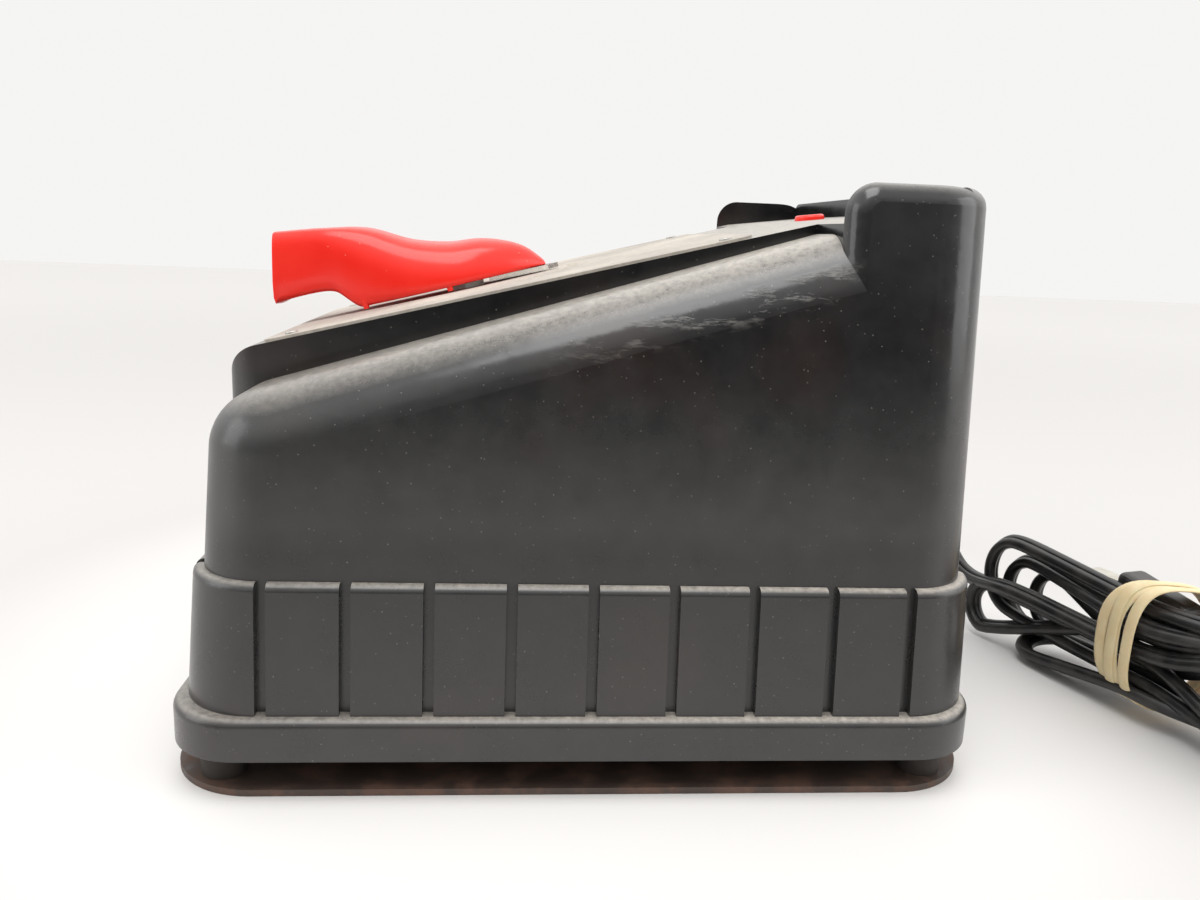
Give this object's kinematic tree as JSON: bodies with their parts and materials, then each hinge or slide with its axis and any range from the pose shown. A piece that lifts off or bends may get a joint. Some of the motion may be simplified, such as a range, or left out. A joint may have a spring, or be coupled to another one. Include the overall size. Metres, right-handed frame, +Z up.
{
  "type": "car battery charger",
  "caption": "Sloping-deck bench battery charger with a moulded ribbed cover, a rotary selector lever, a reset button, rear terminals and a hanked mains cord.",
  "frame": {"origin": "middle of the charger's box without its cord, on the surface that it stands on", "axes": "+Z up, -Y to the low front where the user stands, +Y to the tall rear wall, X across the width"},
  "size_m": [0.2596, 0.3551, 0.1776],
  "materials": {
    "phenolic": "black compression-moulded phenolic, satin gloss",
    "plate_steel": "brown-black lacquered sheet steel with rust bloom",
    "spacer_rubber": "dark moulded rubber, dull",
    "zinc_steel": "dull zinc-plated steel",
    "scale_metal": "black lacquered sheet metal, dusty",
    "red_plastic": "glossy red moulded plastic",
    "clear_plastic": "clear moulded acrylic",
    "shaft_steel": "turned steel",
    "brass_parts": "turned brass, slightly tarnished",
    "spring_metal": "phosphor bronze spring sheet",
    "board_laminate": "brown paper laminate",
    "core_steel": "stacked silicon steel, lacquered edges",
    "bobbin_plastic": "moulded nylon, natural",
    "winding_paper": "varnished paper over the winding",
    "winding_wire": "enamelled copper wire",
    "sink_aluminium": "mill-finish aluminium sheet",
    "diode_metal": "nickel-plated steel cans",
    "cord_rubber": "black vinyl insulation, satin",
    "band_rubber": "cream natural rubber"
  },
  "bodies": {
    "charger": {"cover": "phenolic", "base_plate": "plate_steel", "spacer_front_left": "spacer_rubber", "spacer_rear_left": "spacer_rubber", "spacer_front_right": "spacer_rubber", "spacer_rear_right": "spacer_rubber", "base_screws": "zinc_steel", "scale_plate": "scale_metal", "scale_rivets": "zinc_steel", "shaft_bushing": "brass_parts", "bushing_nut": "zinc_steel", "contact_disc": "board_laminate", "contact_studs": "brass_parts", "breaker_body": "phenolic", "terminal_board": "board_laminate", "terminal_screws": "brass_parts", "terminal_washers": "brass_parts", "transformer_core": "core_steel", "winding_bobbin": "bobbin_plastic", "primary_winding": "winding_paper", "secondary_winding": "winding_wire", "transformer_strap": "zinc_steel", "transformer_bolts": "zinc_steel", "heat_sink": "sink_aluminium", "diodes": "diode_metal", "diode_nuts": "zinc_steel", "strain_relief": "cord_rubber", "mains_cord": "cord_rubber", "cord_hank": "cord_rubber", "rubber_band": "band_rubber", "plug_body": "cord_rubber", "plug_blades": "brass_parts"},
    "lever": {"selector_lever": "red_plastic", "lever_pointer": "clear_plastic", "lever_shaft": "shaft_steel", "wiper_arm": "spring_metal", "wiper_collar": "brass_parts"},
    "button": {"reset_button": "red_plastic"}
  },
  "joints": [
    {"name": "lever_turn", "type": "hinge", "parent": "charger", "child": "lever", "pos_m": [0, -0.041, 0.13811], "axis": [0, -0.2419, 0.9703], "range_deg": [-60, 60]},
    {"name": "button_press", "type": "slide", "parent": "charger", "child": "button", "axis": [0, 0.1219, -0.9925], "range_m": [0, 0.0015], "stiffness_N_per_m": 1500, "springref_m": -0.0006}
  ]
}
